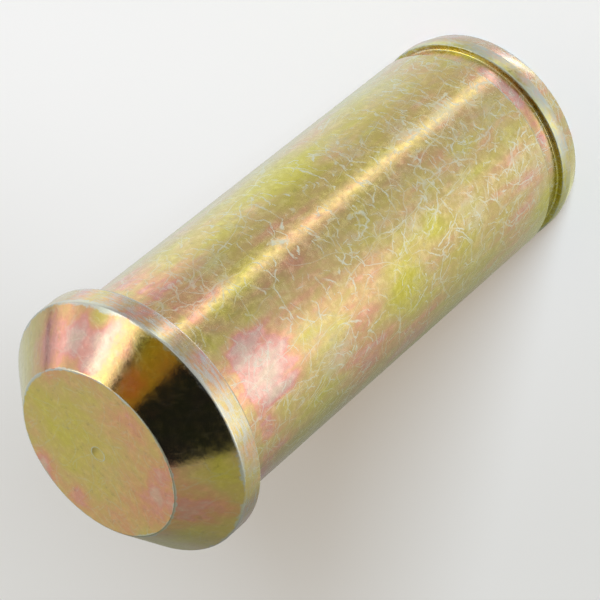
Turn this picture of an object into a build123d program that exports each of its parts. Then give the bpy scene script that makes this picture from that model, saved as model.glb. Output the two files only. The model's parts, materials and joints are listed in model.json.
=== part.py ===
"""Yoke pin with a coned head and a retaining-ring groove, turned in one piece from round steel bar.

The pin stands on its plain end, with its head up. The origin is the centre of the plain end's
face, and +Z runs along the pin's axis towards the head. All lengths are in millimetres.
"""

import os
from math import radians, tan

from build123d import *

# Shank: the working length, which the yoke's ears and the eye between them bear on.
SHANK_DIAMETER = 25.4
GRIP_LENGTH = 54.6  # from the head's shoulder to the ring groove

# Head: a square shoulder, a straight rim, and a nose that tapers to a flat face.
SHOULDER_WIDTH = 2.05  # how far the head stands out past the shank, all round
RIM_LENGTH = 2.6
NOSE_LENGTH = 4.8
FACE_DIAMETER = 19.7

# Groove for an external retaining ring, and the collar that keeps the ring on the pin.
GROOVE_DEPTH = 0.75
GROOVE_WIDTH = 2.6
COLLAR_LENGTH = 3.5

# Lead: the shallow taper that guides the plain end into the yoke.
LEAD_LENGTH = 2.0
LEAD_ANGLE = 15  # degrees from the axis

# Broken edges and tool radii.
RIM_EDGE_BREAK = 0.3
FACE_EDGE_BREAK = 0.2
PLAIN_END_BREAK = 0.3
GROOVE_EDGE_BREAK = 0.12
GROOVE_CORNER_RADIUS = 0.2
SHOULDER_ROOT_RADIUS = 0.5

# Mark that the facing tool leaves at the middle of the head's face.
CENTRE_MARK_DIAMETER = 1.7
CENTRE_MARK_DEPTH = 0.1

# Radii and heights that follow from the sizes above.
shank_radius = SHANK_DIAMETER / 2
head_radius = shank_radius + SHOULDER_WIDTH
face_radius = FACE_DIAMETER / 2
plain_end_radius = shank_radius - LEAD_LENGTH * tan(radians(LEAD_ANGLE))

shoulder_height = COLLAR_LENGTH + GROOVE_WIDTH + GRIP_LENGTH
rim_height = shoulder_height + RIM_LENGTH
pin_height = rim_height + NOSE_LENGTH


def corner(radius, height):
    """The outline's corner at this radius and height."""
    return vertices().sort_by_distance(Vector(radius, height))[0]


with BuildPart() as yoke_pin:
    # The bar is turned to half of this outline: lead, shank, shoulder, rim, nose and face.
    with BuildSketch(Plane.XZ):
        with BuildLine():
            Polyline(
                (0, 0),
                (plain_end_radius, 0),
                (shank_radius, LEAD_LENGTH),
                (shank_radius, shoulder_height),
                (head_radius, shoulder_height),
                (head_radius, rim_height),
                (face_radius, pin_height),
                (0, pin_height),
                close=True,
            )
        make_face()
        # The rim's two edges are broken, and more lightly the edge of the face.
        rim_corners = [corner(head_radius, shoulder_height), corner(head_radius, rim_height)]
        chamfer(rim_corners, length=RIM_EDGE_BREAK)
        chamfer(corner(face_radius, pin_height), length=FACE_EDGE_BREAK)
        # A small radius joins shank and shoulder, so that the head doesn't crack off there.
        fillet(corner(shank_radius, shoulder_height), radius=SHOULDER_ROOT_RADIUS)
        # The plain end's sharp edge is broken where the lead meets the end face.
        chamfer(corner(plain_end_radius, 0), length=PLAIN_END_BREAK)
    revolve(axis=Axis.Z)

    # The ring groove has square walls, with the tool's radius in both corners of its floor.
    with BuildSketch(Plane.XZ):
        with Locations((shank_radius, COLLAR_LENGTH)):
            Rectangle(2 * GROOVE_DEPTH, GROOVE_WIDTH, align=(Align.CENTER, Align.MIN))
        fillet(vertices().group_by(Axis.X)[0], radius=GROOVE_CORNER_RADIUS)
    revolve(axis=Axis.Z, mode=Mode.SUBTRACT)
    groove_mouth = edges(Select.LAST).filter_by(GeomType.CIRCLE).group_by(SortBy.RADIUS)[-1]
    chamfer(groove_mouth, length=GROOVE_EDGE_BREAK)

    # The facing tool's mark is a shallow round recess in the middle of the head's face.
    with BuildSketch(Plane.XY.offset(pin_height)):
        Circle(CENTRE_MARK_DIAMETER / 2)
    extrude(amount=-CENTRE_MARK_DEPTH, mode=Mode.SUBTRACT)

yoke_pin.part.label = "yoke_pin"

os.makedirs("parts", exist_ok=True)
export_step(yoke_pin.part, "parts/yoke_pin.step")
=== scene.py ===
import json
import math

import bmesh
import bpy
from mathutils import Matrix, Vector


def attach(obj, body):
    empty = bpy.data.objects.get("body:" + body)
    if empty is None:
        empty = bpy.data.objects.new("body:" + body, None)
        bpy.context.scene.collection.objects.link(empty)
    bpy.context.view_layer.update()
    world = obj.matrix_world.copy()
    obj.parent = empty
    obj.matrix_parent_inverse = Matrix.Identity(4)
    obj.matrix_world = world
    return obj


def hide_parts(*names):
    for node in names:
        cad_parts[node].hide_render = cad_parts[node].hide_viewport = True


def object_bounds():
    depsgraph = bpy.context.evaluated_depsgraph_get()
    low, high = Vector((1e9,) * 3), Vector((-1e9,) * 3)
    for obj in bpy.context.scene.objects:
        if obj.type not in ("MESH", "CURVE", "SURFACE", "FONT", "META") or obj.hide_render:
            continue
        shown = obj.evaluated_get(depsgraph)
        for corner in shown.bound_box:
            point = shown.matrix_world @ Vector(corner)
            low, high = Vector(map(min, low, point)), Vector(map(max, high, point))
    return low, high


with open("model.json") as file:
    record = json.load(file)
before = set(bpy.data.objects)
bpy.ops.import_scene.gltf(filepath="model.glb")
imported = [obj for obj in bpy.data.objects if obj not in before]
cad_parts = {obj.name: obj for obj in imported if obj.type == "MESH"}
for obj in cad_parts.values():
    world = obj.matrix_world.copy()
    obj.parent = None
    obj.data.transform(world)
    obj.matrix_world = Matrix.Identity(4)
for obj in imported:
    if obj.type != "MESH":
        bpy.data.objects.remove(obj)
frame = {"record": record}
cad_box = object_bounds()

MM = 0.001
# Sides of each turned circle, how far apart doubled points lie, and how near a point lies to its edge.
SPIN_STEPS = 360
DOUBLES_APART = 1e-7
ON_THE_EDGE = 1e-6

# The pin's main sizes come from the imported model. It stands on its plain end, with Z up its axis.
mounts = {mount["name"]: mount for mount in frame["record"]["mounts"]}
PIN_HEIGHT = cad_box[1].z
HEAD_RADIUS = cad_box[1].x
SHANK_RADIUS = mounts["shank"]["dims"]["r_mm"] * MM
SHOULDER_HEIGHT = mounts["shoulder"]["pos_m"][2]
GROOVE_MIDDLE = mounts["ring_groove"]["pos_m"][2]

# The turned details between them.
RIM_LENGTH = 2.6 * MM
FACE_RADIUS = 9.85 * MM
GROOVE_WIDTH = 2.6 * MM
GROOVE_DEPTH = 0.75 * MM
LEAD_LENGTH = 2.0 * MM
LEAD_ANGLE = math.radians(15)
MARK_RADIUS = 0.85 * MM
MARK_SLOPE = 0.1 * MM
MARK_DEPTH = 0.03 * MM

RIM_HEIGHT = SHOULDER_HEIGHT + RIM_LENGTH
GROOVE_LOW = GROOVE_MIDDLE - GROOVE_WIDTH / 2
GROOVE_HIGH = GROOVE_MIDDLE + GROOVE_WIDTH / 2
GROOVE_RADIUS = SHANK_RADIUS - GROOVE_DEPTH
PLAIN_END_RADIUS = SHANK_RADIUS - LEAD_LENGTH * math.tan(LEAD_ANGLE)


# ---- The turned pin ----

def turned(outline):
    """A closed body of revolution about Z, spun from half of its outline."""
    body = bmesh.new()
    points = [body.verts.new((radius, 0, height)) for radius, height in outline]
    lines = [body.edges.new(pair) for pair in zip(points, points[1:])]
    bmesh.ops.spin(
        body, geom=points + lines, cent=(0, 0, 0), axis=(0, 0, 1),
        angle=2 * math.pi, steps=SPIN_STEPS, use_merge=True,
    )
    bmesh.ops.remove_doubles(body, verts=body.verts, dist=DOUBLES_APART)
    bmesh.ops.recalc_face_normals(body, faces=body.faces)
    return body


def break_edge(body, radius, height, width, segments):
    """Rounds the turned edge at this radius and height."""
    ring = [
        edge for edge in body.edges
        if all(
            abs(math.hypot(vert.co.x, vert.co.y) - radius) < ON_THE_EDGE
            and abs(vert.co.z - height) < ON_THE_EDGE
            for vert in edge.verts
        )
    ]
    bmesh.ops.bevel(
        body, geom=ring, offset=width, offset_type="WIDTH", segments=segments,
        profile=0.5, affect="EDGES", material=-1,
    )


body = turned([
    (0, 0),
    (PLAIN_END_RADIUS, 0),
    (SHANK_RADIUS, LEAD_LENGTH),
    (SHANK_RADIUS, GROOVE_LOW),
    (GROOVE_RADIUS, GROOVE_LOW),
    (GROOVE_RADIUS, GROOVE_HIGH),
    (SHANK_RADIUS, GROOVE_HIGH),
    (SHANK_RADIUS, SHOULDER_HEIGHT),
    (HEAD_RADIUS, SHOULDER_HEIGHT),
    (HEAD_RADIUS, RIM_HEIGHT),
    (FACE_RADIUS, PIN_HEIGHT),
    (MARK_RADIUS, PIN_HEIGHT),
    (MARK_RADIUS - MARK_SLOPE, PIN_HEIGHT - MARK_DEPTH),
    (0, PIN_HEIGHT - MARK_DEPTH),
])
# Each edge or corner from the plain end up: its radius, its height, its width across and its segments.
BROKEN_EDGES = [
    (PLAIN_END_RADIUS, 0, 0.4 * MM, 3),
    (SHANK_RADIUS, LEAD_LENGTH, 0.12 * MM, 2),
    (SHANK_RADIUS, GROOVE_LOW, 0.15 * MM, 2),
    (GROOVE_RADIUS, GROOVE_LOW, 0.28 * MM, 4),
    (GROOVE_RADIUS, GROOVE_HIGH, 0.28 * MM, 4),
    (SHANK_RADIUS, GROOVE_HIGH, 0.15 * MM, 2),
    (SHANK_RADIUS, SHOULDER_HEIGHT, 0.7 * MM, 6),
    (HEAD_RADIUS, SHOULDER_HEIGHT, 0.32 * MM, 3),
    (HEAD_RADIUS, RIM_HEIGHT, 0.3 * MM, 3),
    (FACE_RADIUS, PIN_HEIGHT, 0.25 * MM, 3),
]
for broken_edge in BROKEN_EDGES:
    break_edge(body, *broken_edge)
for face in body.faces:
    face.smooth = True

mesh = bpy.data.meshes.new("yoke_pin_body")
body.to_mesh(mesh)
body.free()
pin = bpy.data.objects.new("yoke_pin_body", mesh)
bpy.context.scene.collection.objects.link(pin)
# The wide turned faces set the shading, so that each narrow edge break stays crisp.
pin.modifiers.new("turned_faces_shading", "WEIGHTED_NORMAL")
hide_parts("yoke_pin")
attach(pin, "root")


# ---- Materials ----

def linear(hex_colour):
    """An sRGB hex colour as linear RGBA."""
    channels = [int(hex_colour[i:i + 2], 16) / 255 for i in (1, 3, 5)]
    return [*(c / 12.92 if c <= 0.04045 else ((c + 0.055) / 1.055) ** 2.4 for c in channels), 1.0]


def node(tree, kind, links=None, **settings):
    """Adds a node with its settings; a link's source is a value, a node's first output or a socket."""
    made = tree.nodes.new("ShaderNode" + kind)
    for name, value in settings.items():
        setattr(made, name, value)
    for socket, source in (links or {}).items():
        if isinstance(source, bpy.types.Node):
            source = source.outputs[0]
        if isinstance(source, bpy.types.NodeSocket):
            tree.links.new(source, made.inputs[socket])
        else:
            made.inputs[socket].default_value = source
    return made


def set_stops(ramp, stops):
    """Gives a colour ramp its stops, each a position and a colour."""
    elements = ramp.color_ramp.elements
    while len(elements) < len(stops):
        elements.new(0.5)
    for element, (position, colour) in zip(elements, stops):
        element.position = position
        element.color = colour


def new_tree(owner):
    """The emptied node tree of a material or a world."""
    owner.use_nodes = True
    owner.node_tree.nodes.clear()
    return owner.node_tree


def per_metre(size):
    """The texture scale that makes one feature this many millimetres across."""
    return 1 / (size * MM)


def on_pin(radius, azimuth, height):
    """A point on the turned surface: the azimuth is from -Y towards +X, in degrees."""
    angle = math.radians(azimuth)
    return radius * math.sin(angle), -radius * math.cos(angle), height


def soft_spot(tree, place, middle, size, most):
    """A round spot this many millimetres across, which fades out from the most in its middle."""
    reach = node(tree, "VectorMath", {0: place, 1: middle}, operation="DISTANCE").outputs["Value"]
    return node(tree, "MapRange", {"Value": reach, "From Min": 0, "From Max": size / 2 * MM,
                                   "To Min": most, "To Max": 0}, interpolation_type="SMOOTHSTEP")


# Zinc plate with a yellow chromate film, dipped after turning. The film is only some tenths of a
# micrometre thick, so its thickness decides its colour: yellow-green and straw where it is thin,
# then gold, salmon and pink, and a pale pinkish grey where it is thickest. It drifts slowly over
# the pin and is flecked up close. Tumbling in the plating barrel has rubbed pale, crooked hairlines
# into it and worn the turned edges back to the bare grey zinc.
plating = bpy.data.materials.new("zinc_plate_yellow_chromate_dipped")
tree = new_tree(plating)
coordinates = node(tree, "TexCoord").outputs
place, normal = coordinates["Object"], coordinates["Normal"]
axes = node(tree, "SeparateXYZ", {0: place})
around = node(tree, "CombineXYZ", {"X": axes.outputs["X"], "Y": axes.outputs["Y"]})
radius = node(tree, "VectorMath", {0: around}, operation="LENGTH").outputs["Value"]
height = axes.outputs["Z"]
section = node(tree, "CombineXYZ", {"X": radius, "Z": height})
front = node(tree, "Math", {0: axes.outputs["Y"], 1: -1.0}, operation="MULTIPLY")
angle = node(tree, "Math", {0: axes.outputs["X"], 1: front}, operation="ARCTAN2")

# The noises that the patterns share, each with three unlike channels: how much it is squeezed along
# the pin, or stretched where this is below 1, the millimetres across its features, its detail and
# its roughness. The grain and the turning marks are finer on the real pin, and are drawn as coarse
# as they need to show.
NOISES = {
    "drift": (0.6, 8, 2, 0.5),
    "patches": (0.6, 5, 2, 0.6),
    "wander": (0.6, 4.5, 3, 0.5),
    "streaks": (0.3, 1.8, 2, 0.55),
    "grain": (1.0, 0.8, 4, 0.64),
    "turning": (5.0, 1.5, 4, 0.7),
}
noises = {}
for name, (squeeze, size, detail, roughness) in NOISES.items():
    squeezed = node(tree, "Mapping", {"Vector": place, "Scale": (1, 1, squeeze)})
    noise = node(tree, "TexNoise", {"Vector": squeezed, "Scale": per_metre(size),
                                    "Detail": detail, "Roughness": roughness})
    noises[name] = node(tree, "SeparateColor", {0: noise.outputs["Color"]}).outputs
drift, patches, wander, streaks, grain, turning = noises.values()

# Film thickness, from 0 for the thinnest to 1: a slow drift, streaks along the pin, flecks, and more
# film towards the head's underside.
FILM_MIDDLE = 0.42
film = FILM_MIDDLE
for noise, swing in ((drift[0], 0.16), (streaks[0], 0.17), (grain[1], 0.04)):
    layer = node(tree, "MapRange", {"Value": noise, "From Min": 0.3, "From Max": 0.7,
                                    "To Min": -swing, "To Max": swing})
    film = node(tree, "Math", {0: film, 1: layer}, operation="ADD")
# The head is calmer: it varies less in film, in flecks and in gloss.
calm = node(tree, "MapRange", {"Value": height, "From Min": SHOULDER_HEIGHT, "From Max": RIM_HEIGHT,
                               "To Min": 1.0, "To Max": 0.55})
film = node(tree, "Math", {0: film, 1: -FILM_MIDDLE}, operation="ADD")
film = node(tree, "Math", {0: film, 1: calm, 2: FILM_MIDDLE}, operation="MULTIPLY_ADD")
# Bands: the heights in millimetres between which the film goes over to another thickness, and by
# how much.
BANDS = [
    (24, 12, 0.07),
    (50, 57, 0.3),
    (57.5, 58, -0.14),
    (61, 64, -0.12),
    (2.2, 1.8, 0.07),
]
for start, end, shift in BANDS:
    band = node(tree, "MapRange", {"Value": height, "From Min": start * MM, "From Max": end * MM,
                                   "To Min": 0.0, "To Max": shift}, interpolation_type="SMOOTHSTEP")
    film = node(tree, "Math", {0: film, 1: band}, operation="ADD")
# Stains: where each lies (its radius, its azimuth in degrees and its height in millimetres), how many
# millimetres it is across, and its shift in thickness.
STAINS = [
    (SHANK_RADIUS, 47, 33, 15, -0.4),
    (SHANK_RADIUS, 20, 34, 13, 0.15),
    (SHANK_RADIUS, -38, 32.5, 10, -0.38),
    (SHANK_RADIUS, -18, 37, 12, 0.22),
    (SHANK_RADIUS, -15, 23, 8, -0.14),
    (SHANK_RADIUS, -60, 52, 16, -0.12),
    (SHANK_RADIUS, 35, 46, 11, -0.3),
    (SHANK_RADIUS, -61, 32, 14, 0.26),
    (SHANK_RADIUS, -60, 12, 18, 0.14),
    (SHANK_RADIUS, 6, 17, 12, -0.14),
    (SHANK_RADIUS, -20, 25.5, 5, -0.3),
    (SHANK_RADIUS, 2, 44, 20, 0.2),
    (SHANK_RADIUS, -47, 41, 14, 0.34),
    (SHANK_RADIUS, -24, 52, 16, 0.34),
    (SHANK_RADIUS, -56, 52, 9, 0.16),
    (SHANK_RADIUS, 12, 54.5, 5, -0.35),
    (SHANK_RADIUS, 5, 57.5, 6, -0.4),
    (SHANK_RADIUS, -42, 54, 5, -0.3),
    (SHANK_RADIUS, -25, 54, 11, 0.25),
    (SHANK_RADIUS, 60, 12, 22, -0.2),
    (SHANK_RADIUS, -58, 56.5, 8, 0.08),
    (SHANK_RADIUS, -76, 49, 22, -0.3),
    (SHANK_RADIUS, -17, 48, 7, -0.18),
    (SHANK_RADIUS, 27, 56, 8, -0.16),
    (SHANK_RADIUS, -50, 57, 6, -0.14),
    (SHANK_RADIUS, -38, 45, 6, 0.16),
    (SHANK_RADIUS, 150, 35, 14, -0.3),
    (SHANK_RADIUS, -130, 24, 14, 0.3),
    (12 * MM, 66, 65.6, 13, 0.4),
    (12 * MM, 40, 65, 11, 0.38),
    (10.5 * MM, 40, 67.4, 4.5, 0.3),
    (12 * MM, 112, 65.6, 12, -0.2),
    (14 * MM, 46, 64, 3.5, -0.4),
    (11 * MM, 16, 66.6, 5, 0.26),
    (13.8 * MM, 20, 64.2, 5, -0.3),
    (13.6 * MM, -43, 64.4, 6, -0.2),
    (12 * MM, -38, 65.6, 7, -0.15),
    (12 * MM, -65, 65.6, 10, 0.36),
    (12 * MM, -98, 65.6, 12, -0.25),
    (4 * MM, 110, 68.1, 15, -0.16),
    (9 * MM, -42, 68.1, 12, 0.2),
    (GROOVE_RADIUS, 48, 5.2, 12, -0.3),
    (GROOVE_RADIUS, -62, 5.2, 16, -0.34),
    (8 * MM, -78, 68.1, 12, 0.35),
    (8 * MM, 0, 68.1, 8, 0.25),
    (8 * MM, -165, 68.1, 7, 0.3),
    (9.5 * MM, 162, 68.1, 7, 0.35),
    (9.5 * MM, -130, 68.1, 9, 0.22),
]
for stain_radius, azimuth, stain_height, size, shift in STAINS:
    stain = soft_spot(tree, place, on_pin(stain_radius, azimuth, stain_height * MM), size, shift)
    film = node(tree, "Math", {0: film, 1: stain}, operation="ADD")
# The groove holds more film on its floor and less on its lower wall: the radius and the height of each
# ring of it, the millimetres across its section, and its shift in thickness.
RINGS = [
    (GROOVE_RADIUS, GROOVE_LOW + 1.2 * MM, 2.6, 0.24),
    (SHANK_RADIUS, GROOVE_LOW, 2.0, -0.5),
]
for ring_radius, ring_height, size, shift in RINGS:
    ring = soft_spot(tree, section, (ring_radius, 0, ring_height), size, shift)
    film = node(tree, "Math", {0: film, 1: ring}, operation="ADD")
film_colour = node(tree, "ValToRGB", {"Fac": film})
set_stops(film_colour, [
    (0.0, linear("#bfb438")),
    (0.16, linear("#beb24a")),
    (0.32, linear("#c0ae5c")),
    (0.48, linear("#c4aa6b")),
    (0.6, linear("#caa270")),
    (0.7, linear("#cf9874")),
    (0.78, linear("#d09284")),
    (0.86, linear("#cda294")),
    (0.93, linear("#cba998")),
    (1.0, linear("#c8af99")),
])

# Rubbed marks. They crowd towards the plain end, where parts knock together, and in a few knots on the
# shank: the azimuth in degrees, and the height and the size in millimetres of each. The knot at azimuth
# -75 near the plain end is painted light instead: its pale marks brighten that side as if more light
# fell on it.
KNOTS_AND_PAINTED_LIGHT = [
    (35, 50, 8),
    (-40, 46, 10),
    (-10, 41, 6),
    (12, 16, 10),
    (25, 20, 7),
    (40, 27, 7),
    (25, 42, 6),
    (-30, 19, 7),
    (-15, 28, 6),
    (0, 36, 4),
    (-8, 10, 7),
    (-35, 52, 7),
    (62, 14, 7),
    # Painted light: this knot's pale marks brighten this side near the plain end, standing in for light
    # reflected onto it.
    (-75, 9, 14),
    (140, 40, 10),
    (-140, 20, 10),
]
knots_and_painted_light = 0.0
for azimuth, knot_height, size in KNOTS_AND_PAINTED_LIGHT:
    knot = soft_spot(tree, place, on_pin(SHANK_RADIUS, azimuth, knot_height * MM), size, 1)
    knots_and_painted_light = node(tree, "Math", {0: knots_and_painted_light, 1: knot}, operation="ADD")
crowding = node(tree, "MapRange", {"Value": height, "From Min": 10 * MM, "From Max": 30 * MM,
                                   "To Min": 1.0, "To Max": 0.0})
# Strands are crooked hairlines that run along or across the shank or curl about, and only some of
# each kind are there: how many lie around the pin and in a centimetre along it, how far they sweep,
# the noise they wander with and how far, their half width as a share of their spacing, how much they
# gather in the knots and at the plain end, and the patchiness below which they stay away.
STRANDS = [
    (30, 0.6, 1.3, wander[0], 0.5, 0.04, 0.0, 0.0, 0.45),
    (20, -1.4, 1.3, wander[1], 0.5, 0.035, 0.0, 0.0, 0.46),
    (24, 1.2, 1.5, wander[2], 0.6, 0.04, 0.03, 0.05, 0.46),
    (8, 3.3, 1.2, wander[0], 0.6, 0.045, 0.05, 0.06, 0.48),
    (0, 0, 0, wander[1], 3.6, 0.07, 0.12, 0.16, 0.55),
]
STRAND_NUMBERS_APART = 40.3
strands = 0.0
for kind, (count, density, sweep, noise, roaming, width, in_knots, at_end, bare) in enumerate(STRANDS):
    course = node(tree, "Math", {0: angle, 1: count / (2 * math.pi)}, operation="MULTIPLY")
    for guide, pull in (
        (height, density / (10 * MM)), (drift[kind % 3], 2 * sweep), (noise, 2 * roaming),
    ):
        course = node(tree, "Math", {0: guide, 1: pull, 2: course}, operation="MULTIPLY_ADD")
    distance = node(tree, "Math", {0: course, 1: 0.5}, operation="PINGPONG")
    line = node(tree, "MapRange", {"Value": distance, "From Min": 0, "From Max": width,
                                   "To Min": 1, "To Max": 0})
    # Every strand has a number of its own, and a draw on it says how much of the strand is there.
    number = node(tree, "Math", {0: course}, operation="ROUND")
    number = node(tree, "Math", {0: number, 1: STRAND_NUMBERS_APART * kind}, operation="ADD")
    chance = node(tree, "TexWhiteNoise", {"W": number}, noise_dimensions="1D").outputs["Value"]
    chance = node(tree, "MapRange", {"Value": chance, "From Min": 0.35, "From Max": 0.75})
    patch = patches[(kind + 1) % 3]
    for crowd, pull in ((knots_and_painted_light, in_knots), (crowding, at_end)):
        patch = node(tree, "Math", {0: crowd, 1: pull, 2: patch}, operation="MULTIPLY_ADD")
    patch = node(tree, "MapRange", {"Value": patch, "From Min": bare, "From Max": bare + 0.08})
    for share in (patch, chance):
        line = node(tree, "Math", {0: line, 1: share}, operation="MULTIPLY")
    strands = node(tree, "Math", {0: strands, 1: line}, operation="MAXIMUM")
# They are faint on the shank, and the head has none.
on_shank = node(tree, "MapRange", {"Value": height, "From Min": SHOULDER_HEIGHT - 1 * MM,
                                   "From Max": SHOULDER_HEIGHT, "To Min": 0.6, "To Max": 0.0})
strands = node(tree, "Math", {0: strands, 1: on_shank}, operation="MULTIPLY")

# Scratches are short crooked arcs that lie in the surface, one to a bent cell and more of them where
# they crowd: the cell's size, the arc's radius and its half width, all in millimetres.
SCRATCHES = [
    (7.0, 9.0, 0.14),
    (4.8, 5.0, 0.14),
    (3.5, 8.0, 0.13),
    (2.5, 2.6, 0.12),
    (1.8, 4.0, 0.11),
    (1.3, 1.8, 0.1),
]
BEND_SIZE = 2.6
BEND_REACH = (1.7 * MM,) * 3
KINDS_APART = 0.05
bend = node(tree, "TexNoise", {"Vector": place, "Scale": per_metre(BEND_SIZE), "Detail": 3,
                               "Roughness": 0.55}).outputs["Color"]
# The cells are a little longer along the pin than round it.
along = node(tree, "Mapping", {"Vector": place, "Scale": (1, 1, 0.75)}).outputs[0]
# The surface's slope, which gives the outward direction at each cell's own middle.
upward = node(tree, "SeparateXYZ", {0: normal}).outputs["Z"]
sideways = node(tree, "VectorMath", {0: normal, 1: (1, 1, 0)}, operation="MULTIPLY")
sideways = node(tree, "VectorMath", {0: sideways}, operation="LENGTH").outputs["Value"]
sideways = node(tree, "Math", {0: sideways, 1: radius}, operation="DIVIDE")
sideways = node(tree, "CombineXYZ", {"X": sideways, "Y": sideways})
upward = node(tree, "CombineXYZ", {"Z": upward})
scratches = 0.0
for kind, (size, arc_radius, width) in enumerate(SCRATCHES):
    bent = node(tree, "VectorMath", {0: along, 1: (KINDS_APART * kind,) * 3}, operation="ADD")
    bent = node(tree, "VectorMath", {0: bend, 1: BEND_REACH, 2: bent}, operation="MULTIPLY_ADD")
    cells = node(tree, "TexVoronoi", {"Vector": bent, "Scale": per_metre(size)}).outputs
    # The arc's centre lies to one side of the cell's middle, in the surface.
    centre = node(tree, "VectorMath", {0: cells["Color"], 1: (-0.5, -0.5, -0.5)}, operation="ADD")
    outwards = node(tree, "VectorMath", {0: cells["Position"], 1: sideways, 2: upward},
                    operation="MULTIPLY_ADD")
    upright = node(tree, "VectorMath", {0: centre, 1: outwards}, operation="PROJECT")
    centre = node(tree, "VectorMath", {0: centre, 1: upright}, operation="SUBTRACT")
    flat = node(tree, "VectorMath", {0: centre}, operation="LENGTH").outputs["Value"]
    flat = node(tree, "MapRange", {"Value": flat, "From Min": 0.15, "From Max": 0.25})
    centre = node(tree, "VectorMath", {0: centre}, operation="NORMALIZE")
    centre = node(tree, "VectorMath", {0: centre, 1: (arc_radius * MM,) * 3, 2: cells["Position"]},
                  operation="MULTIPLY_ADD")
    reach = node(tree, "VectorMath", {0: bent, 1: centre}, operation="DISTANCE").outputs["Value"]
    gap = node(tree, "Math", {0: reach, 1: -arc_radius * MM}, operation="ADD")
    gap = node(tree, "Math", {0: gap}, operation="ABSOLUTE")
    line = node(tree, "MapRange", {"Value": gap, "From Min": 0, "From Max": width * MM,
                                   "To Min": 0.9, "To Max": 0}, interpolation_type="SMOOTHSTEP")
    chance = node(tree, "SeparateColor", {0: cells["Color"]}).outputs[kind % 3]
    for crowd, pull in ((patches[(kind + 1) % 3], 1.9), (knots_and_painted_light, 0.4), (crowding, 0.56)):
        chance = node(tree, "Math", {0: crowd, 1: pull, 2: chance}, operation="MULTIPLY_ADD")
    chance = node(tree, "MapRange", {"Value": chance, "From Min": 1.24, "From Max": 1.56})
    for share in (chance, flat):
        line = node(tree, "Math", {0: line, 1: share}, operation="MULTIPLY")
    scratches = node(tree, "Math", {0: scratches, 1: line}, operation="MAXIMUM")
# The grain breaks them up.
break_up = node(tree, "MapRange", {"Value": grain[1], "From Min": 0.38, "From Max": 0.54,
                                   "To Min": 0.3, "To Max": 1.0})
scratches = node(tree, "Math", {0: scratches, 1: break_up}, operation="MULTIPLY")
# Flecks: the finest scuffs, all over.
flecks = node(tree, "MapRange", {"Value": grain[0], "From Min": 0.48, "From Max": 0.7, "To Max": calm})
scuffs = node(tree, "Math", {0: flecks, 1: 0.16}, operation="MULTIPLY")
scratches = node(tree, "Math", {0: scratches, 1: scuffs}, operation="MAXIMUM")
# A pale haze of the finest marks goes with them.
haze = node(tree, "Math", {0: grain[2], 1: patches[1]}, operation="ADD")
for crowd, pull in ((knots_and_painted_light, 0.22), (crowding, 0.15)):
    haze = node(tree, "Math", {0: crowd, 1: pull, 2: haze}, operation="MULTIPLY_ADD")
haze = node(tree, "MapRange", {"Value": haze, "From Min": 1.06, "From Max": 1.36,
                               "To Min": 0.0, "To Max": 0.3})
scratches = node(tree, "Math", {0: scratches, 1: haze}, operation="MAXIMUM")
# They fade towards the head, which has few of them, though its face has more than its nose: the
# heights between which their strength goes over to another, as a share of the one before it.
for start, end, share in (
    (46 * MM, 54 * MM, 0.65),
    (SHOULDER_HEIGHT, RIM_HEIGHT, 0.34),
    (PIN_HEIGHT - 0.2 * MM, PIN_HEIGHT, 1.4),
):
    strength = node(tree, "MapRange", {"Value": height, "From Min": start, "From Max": end,
                                       "To Min": 1.0, "To Max": share})
    scratches = node(tree, "Math", {0: scratches, 1: strength}, operation="MULTIPLY")
# All these marks come and go in streaks along the pin.
fade = node(tree, "MapRange", {"Value": streaks[1], "From Min": 0.35, "From Max": 0.55,
                               "To Min": 0.45, "To Max": 1.0})
lines = node(tree, "Math", {0: strands, 1: scratches}, operation="MAXIMUM")
lines = node(tree, "Math", {0: lines, 1: fade}, operation="MULTIPLY")

# Worn edges: the radius and the height of each turned edge, and about how wide in millimetres it is
# worn. The gap to the nearest one is counted in these widths, and starts out of reach of them all.
WORN_EDGES = [
    (PLAIN_END_RADIUS, 0, 0.25),
    (SHANK_RADIUS, GROOVE_LOW, 0.12),
    (SHANK_RADIUS, GROOVE_HIGH, 0.13),
    (HEAD_RADIUS, SHOULDER_HEIGHT, 0.2),
    (HEAD_RADIUS, RIM_HEIGHT, 0.28),
    (FACE_RADIUS, PIN_HEIGHT, 0.16),
    (MARK_RADIUS, PIN_HEIGHT, 0.06),
]
OUT_OF_REACH = 9.0
nearest = OUT_OF_REACH
for edge_radius, edge_height, width in WORN_EDGES:
    gap = node(tree, "VectorMath", {0: section, 1: (edge_radius, 0, edge_height)},
               operation="DISTANCE").outputs["Value"]
    gap = node(tree, "Math", {0: gap, 1: 1 / (width * MM)}, operation="MULTIPLY")
    nearest = node(tree, "Math", {0: gap, 1: nearest}, operation="MINIMUM")
for noise, swing in ((grain[2], 0.8), (wander[0], 0.9)):
    chips = node(tree, "MapRange", {"Value": noise, "From Min": 0.3, "From Max": 0.7,
                                    "To Min": swing, "To Max": -swing})
    nearest = node(tree, "Math", {0: nearest, 1: chips}, operation="ADD")
worn = node(tree, "MapRange", {"Value": nearest, "From Min": 0.4, "From Max": 1.2,
                               "To Min": 0.75, "To Max": 0})
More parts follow.
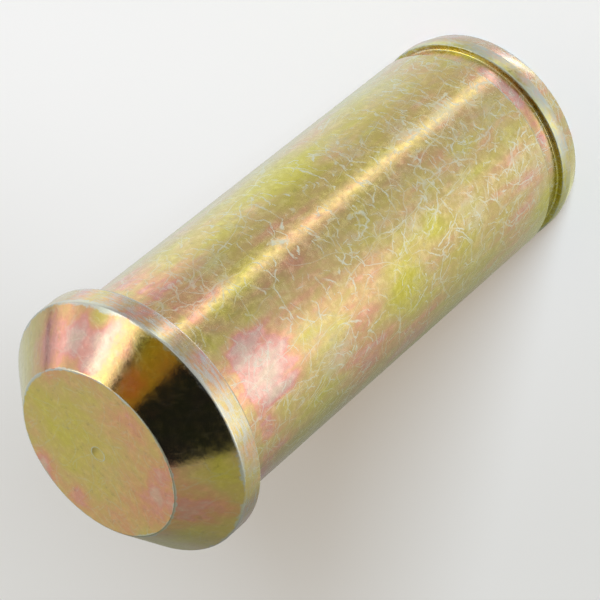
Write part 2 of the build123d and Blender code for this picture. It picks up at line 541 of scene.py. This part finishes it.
# The collar below the groove and the head's rim stand proud, so they are rubbed all round, in
# scratches that run round the pin: the heights between which each lies, and its least and most wear.
RUBBED_BANDS = [
    (LEAD_LENGTH - 0.1 * MM, GROOVE_LOW, 0.32, 0.9),
    (SHOULDER_HEIGHT, RIM_HEIGHT, 0.07, 0.7),
]
rubbing = node(tree, "MapRange", {"Value": wander[2], "From Min": 0.42, "From Max": 0.56,
                                  "To Min": 0.4, "To Max": 1.0})
for low, high, least, most in RUBBED_BANDS:
    inside = node(tree, "Math", {0: height, 1: (low + high) / 2, 2: (high - low) / 2},
                  operation="COMPARE")
    dull = node(tree, "MapRange", {"Value": turning[0], "From Min": 0.42, "From Max": 0.58,
                                   "To Min": least, "To Max": most})
    for share in (inside, rubbing):
        dull = node(tree, "Math", {0: dull, 1: share}, operation="MULTIPLY")
    worn = node(tree, "Math", {0: worn, 1: dull}, operation="MAXIMUM")

# The flecks are a little paler than the film, and pits in it a little darker.
pits = node(tree, "MapRange", {"Value": grain[2], "From Min": 0.6, "From Max": 0.7})
shade = node(tree, "MapRange", {"Value": flecks, "To Min": 0.94, "To Max": 1.16})
shade = node(tree, "Math", {0: pits, 1: -0.15, 2: shade}, operation="MULTIPLY_ADD")
RUBBED_FILM = "#c9cdba"
BARE_ZINC = "#b4bbb7"
base = node(tree, "Mix", {"Factor": 1.0, 6: film_colour, 7: shade},
            data_type="RGBA", blend_type="MULTIPLY")
for cover, colour in ((lines, RUBBED_FILM), (worn, BARE_ZINC)):
    base = node(tree, "Mix", {"Factor": cover, 6: base.outputs[2], 7: linear(colour)}, data_type="RGBA")
# Above the rim the head is glossier, and its turning marks and grain stand out more.
NOSE_START = RIM_HEIGHT + 0.5 * MM
polish = node(tree, "MapRange", {"Value": height, "From Min": RIM_HEIGHT, "From Max": NOSE_START,
                                 "To Min": 0.18, "To Max": 0.12})
speckle = node(tree, "MapRange", {"Value": grain[2], "From Min": 0.4, "From Max": 0.7,
                                  "To Min": 0.0, "To Max": 0.16})
speckle = node(tree, "Math", {0: speckle, 1: calm}, operation="MULTIPLY")
roughness = node(tree, "Math", {0: polish, 1: speckle}, operation="ADD")
roughness = node(tree, "MapRange", {"Value": lines, "To Min": roughness, "To Max": 0.45})
# The collar is rubbed duller than the head's rim.
rubbed = node(tree, "MapRange", {"Value": height, "From Min": GROOVE_LOW, "From Max": GROOVE_HIGH,
                                 "To Min": 0.62, "To Max": 0.27})
roughness = node(tree, "MapRange", {"Value": worn, "To Min": roughness, "To Max": rubbed})
relief = node(tree, "Math", {0: turning[1], 1: 0.6, 2: grain[0]}, operation="MULTIPLY_ADD")
coarse = node(tree, "MapRange", {"Value": height, "From Min": RIM_HEIGHT, "From Max": NOSE_START,
                                 "To Min": 0.28, "To Max": 0.9})
relief = node(tree, "Bump", {"Height": relief, "Strength": coarse, "Distance": 0.01 * MM})
# The film's clear seal greys the metal where it is seen at a slant, less on the head.
seal = node(tree, "MapRange", {"Value": height, "From Min": SHOULDER_HEIGHT, "From Max": RIM_HEIGHT,
                               "To Min": 0.6, "To Max": 0.3})
shader = node(tree, "BsdfPrincipled", {
    "Base Color": base.outputs[2], "Metallic": 1.0, "Roughness": roughness, "Normal": relief,
    "Coat Weight": seal, "Coat Roughness": 0.25})
node(tree, "OutputMaterial", {"Surface": shader})
mesh.materials.append(plating)


# ---- Camera, floor and light ----

CAMERA_DISTANCE = 294.8 * MM
CAMERA_ELEVATION = math.radians(37.78)
CAMERA_ROLL = math.radians(130.04)
CAMERA_AIM = Vector((-1.19 * MM, 0, 36.3 * MM))
CAMERA_LENS = 166.87
CAMERA_SENSOR = 36
camera_data = bpy.data.cameras.new("camera")
camera_data.lens = CAMERA_LENS
camera_data.sensor_width = CAMERA_SENSOR
camera_data.clip_start = 10 * MM
camera = bpy.data.objects.new("camera", camera_data)
bpy.context.scene.collection.objects.link(camera)
towards_camera = Vector((0, -math.cos(CAMERA_ELEVATION), math.sin(CAMERA_ELEVATION)))
camera.matrix_world = (
    Matrix.Translation(CAMERA_AIM + towards_camera * CAMERA_DISTANCE)
    @ towards_camera.to_track_quat("Z", "Y").to_matrix().to_4x4()
    @ Matrix.Rotation(-CAMERA_ROLL, 4, "Z")
)
bpy.context.scene.camera = camera

FLOOR_NEAR = "#f6f5f5"
FLOOR_FAR = "#dedddb"
FLOOR_REACH = 4  # metres from its middle to each side
floor_shape = bmesh.new()
bmesh.ops.create_grid(floor_shape, x_segments=1, y_segments=1, size=FLOOR_REACH)
floor_mesh = bpy.data.meshes.new("floor")
floor_shape.to_mesh(floor_mesh)
floor_shape.free()
floor_paint = bpy.data.materials.new("matt_white_paint")
tree = new_tree(floor_paint)
# Matt paint has no gloss, so the floor mirrors nothing and shows the pin's soft shadow. Its colour
# greys gently from one side to the other, away from a place beside the pin: painted shade that stands
# in for light falling off across the floor.
WHITEST_PLACE = (168 * MM, -43 * MM, 0)
reach = node(tree, "VectorMath", {0: node(tree, "TexCoord").outputs["Object"], 1: WHITEST_PLACE},
             operation="DISTANCE").outputs["Value"]
# Painted shade: the floor's colour greys with the distance from that place.
painted_falloff_shade = node(tree, "MapRange", {"Value": reach, "From Min": 150 * MM, "From Max": 233 * MM},
               interpolation_type="SMOOTHSTEP")
paint = node(tree, "Mix", {"Factor": painted_falloff_shade, 6: linear(FLOOR_NEAR), 7: linear(FLOOR_FAR)},
             data_type="RGBA")
node(tree, "OutputMaterial", {"Surface": node(tree, "BsdfDiffuse", {"Color": paint.outputs[2]})})
floor_mesh.materials.append(floor_paint)
floor = bpy.data.objects.new("floor", floor_mesh)
bpy.context.scene.collection.objects.link(floor)
floor.visible_glossy = False
floor.visible_shadow = False

# About three fifths of the floor's light comes from one broad, cool lamp, and the rest from the
# warmer room, which is all that reaches into the shadow.
ROOM_LEVEL = 0.46
ROOM_COLOUR = "#ffe7c6"
LAMP_COLOUR = "#daecfc"
LAMP_STRENGTH = 5.75
LAMP_BREADTH = math.radians(34)
LAMP_AZIMUTH = math.radians(11)
LAMP_ELEVATION = math.radians(24)
lamp_data = bpy.data.lights.new("key_lamp", "SUN")
lamp_data.energy = LAMP_STRENGTH
lamp_data.color = linear(LAMP_COLOUR)[:3]
lamp_data.angle = LAMP_BREADTH
lamp = bpy.data.objects.new("key_lamp", lamp_data)
bpy.context.scene.collection.objects.link(lamp)
lamp_direction = Vector((
    math.sin(LAMP_AZIMUTH) * math.cos(LAMP_ELEVATION),
    -math.cos(LAMP_AZIMUTH) * math.cos(LAMP_ELEVATION),
    math.sin(LAMP_ELEVATION),
))
lamp.rotation_euler = lamp_direction.to_track_quat("Z", "Y").to_euler()
lamp.visible_glossy = False

# The metal mirrors a studio: a pale tent whose brightness changes around the pin, and cards in it.
# Azimuths are degrees from -Y towards +X.
world = bpy.data.worlds.new("studio")
bpy.context.scene.world = world
tree = new_tree(world)
axes = node(tree, "SeparateXYZ", {0: node(tree, "TexCoord").outputs["Generated"]})
backwards = node(tree, "Math", {0: axes.outputs["Y"], 1: -1.0}, operation="MULTIPLY")
azimuth = node(tree, "Math", {0: axes.outputs["X"], 1: backwards}, operation="ARCTAN2")
azimuth = node(tree, "Math", {0: azimuth}, operation="DEGREES")
elevation = node(tree, "Math", {0: axes.outputs["Z"]}, operation="ARCSINE")
elevation = node(tree, "Math", {0: elevation}, operation="DEGREES")
turn = node(tree, "MapRange", {"Value": azimuth, "From Min": -180, "From Max": 180})
# The tent's brightness around the pin, as azimuths and levels. The ramps hold the levels as shares of
# TENT_MOST, which the tint's ramp then brings back.
STEEPLY_BELOW_HORIZON = (
    (-180, 1.15), (-162, 0.95), (-132, 0.82), (-116, 0.82), (-79, 0.92), (-56, 0.96), (-29, 1.06),
    (1, 1.1), (31, 0.95), (80, 0.95), (99, 0.87), (133, 0.8), (148, 0.92), (180, 0.78),
)
JUST_BELOW_HORIZON = (
    (-180, 0.45), (-170, 0.28), (-150, 0.38), (-120, 0.54), (-90, 0.84), (-66, 0.96), (-14, 0.78),
    (-2, 0.88), (9, 0.76), (17, 0.64), (45, 0.7), (70, 0.8), (92, 1.1), (125, 1.12), (150, 0.95),
    (180, 0.55),
)
ABOVE_HORIZON = (
    (-180, 0.82), (-165, 0.27), (-150, 0.39), (-110, 0.52), (-75, 0.56), (58, 0.9), (92, 1.1),
    (125, 0.9), (160, 0.8), (180, 0.82),
)
TENT_MOST = 1.6
tents = []
for levels in (STEEPLY_BELOW_HORIZON, JUST_BELOW_HORIZON, ABOVE_HORIZON):
    ramp = node(tree, "ValToRGB", {"Fac": turn})
    set_stops(ramp, [((side + 180) / 360, (*[level / TENT_MOST] * 3, 1)) for side, level in levels])
    tents.append(ramp)
tent = tents[0]
for low, high, ramp in ((-48, -39, tents[1]), (-25, -5, tents[2])):
    rise = node(tree, "MapRange", {"Value": elevation, "From Min": low, "From Max": high},
                interpolation_type="SMOOTHSTEP")
    tent = node(tree, "Mix", {"Factor": rise, 6: tent, 7: ramp}, data_type="RGBA").outputs[2]
# The tent is cool on one side, and on the other warmed by the light that the pin throws down.
TINTS = (
    (-180, (1, 1, 0.82)), (-150, (0.94, 1, 0.7)), (-110, (0.96, 1, 0.82)), (-70, (1, 1, 1)),
    (-30, (0.96, 1, 1.05)), (17, (0.96, 1, 1.05)), (50, (1, 1, 1)), (70, (1, 1, 1)),
    (110, (0.96, 1, 1.04)), (150, (0.93, 1, 1.04)), (180, (0.98, 1, 0.86)),
)
tint = node(tree, "ValToRGB", {"Fac": turn})
set_stops(tint, [
    ((side + 180) / 360, [TENT_MOST * channel for channel in colour] + [1]) for side, colour in TINTS
])
light = node(tree, "Mix", {"Factor": 1.0, 6: tent, 7: tint},
             data_type="RGBA", blend_type="MULTIPLY").outputs[2]
# Cards, bright or dark: azimuths from and to, elevations from and to, softness of the sides, colour
# and strength. Each card covers the ones before it in this list.
CARDS = [
    (36, 44, -62, -8, 1.5, "#f2f4f2", 3.0),
    (-80, -8, -36.5, 0, 3, "#ffffff", 1.07),
    (-165, -125, -36.5, 0, 3, "#ffffff", 0.34),
    (90, 125, -36.5, 0, 3, "#fafff8", 1.48),
    (50, 84, -36.5, 0, 3, "#ffffff", 0.62),
    (12, 28, -36.5, 0, 3, "#ffffff", 0.54),
    (-56, -28, -38.8, 5, 3, "#ffffff", 1.56),
    (-62, -20, -36.5, 0, 3, "#ffffff", 2.1),
    (55, 78, -90, -64, 3, "#dfe8ff", 5.5),
    (66, 85, 20, 60, 6, "#e2f4f4", 3.45),
    (113, 125, 8, 34, 4, "#ffffff", 1.5),
    (68, 132, 42, 56, 3, "#fff2cc", 3.6),
    (-76, 58, 34, 90, 2.0, "#1f2630", 1.0),
    (18, 52, 34, 90, 0.7, "#ab8f42", 1.0),
    (131.5, 134, -20, 40, 0.5, "#ffffff", 0.3),
]
for az_from, az_to, el_from, el_to, soft, colour, strength in CARDS:
    cover = 1.0
    for direction, edge, outside in (
        (azimuth, az_from, 0), (azimuth, az_to, 1), (elevation, el_from, 0), (elevation, el_to, 1),
    ):
        side = node(tree, "MapRange", {"Value": direction, "From Min": edge - soft,
                                       "From Max": edge + soft, "To Min": outside,
                                       "To Max": 1 - outside}, interpolation_type="SMOOTHSTEP")
        cover = node(tree, "Math", {0: cover, 1: side}, operation="MULTIPLY")
    shine = [strength * channel for channel in linear(colour)[:3]] + [1]
    light = node(tree, "Mix", {"Factor": cover, 6: light, 7: shine}, data_type="RGBA").outputs[2]
rays = node(tree, "LightPath")
room = node(tree, "Background", {"Color": linear(ROOM_COLOUR), "Strength": ROOM_LEVEL})
backdrop = node(tree, "Background", {"Color": linear(FLOOR_FAR), "Strength": 1.0})
mirrored = node(tree, "Background", {"Color": light, "Strength": 1.0})
seen = node(tree, "MixShader", {0: rays.outputs["Is Camera Ray"], 1: room, 2: backdrop})
seen = node(tree, "MixShader", {0: rays.outputs["Is Glossy Ray"], 1: seen, 2: mirrored})
node(tree, "OutputWorld", {"Surface": seen})

bpy.context.scene.view_settings.view_transform = "Standard"
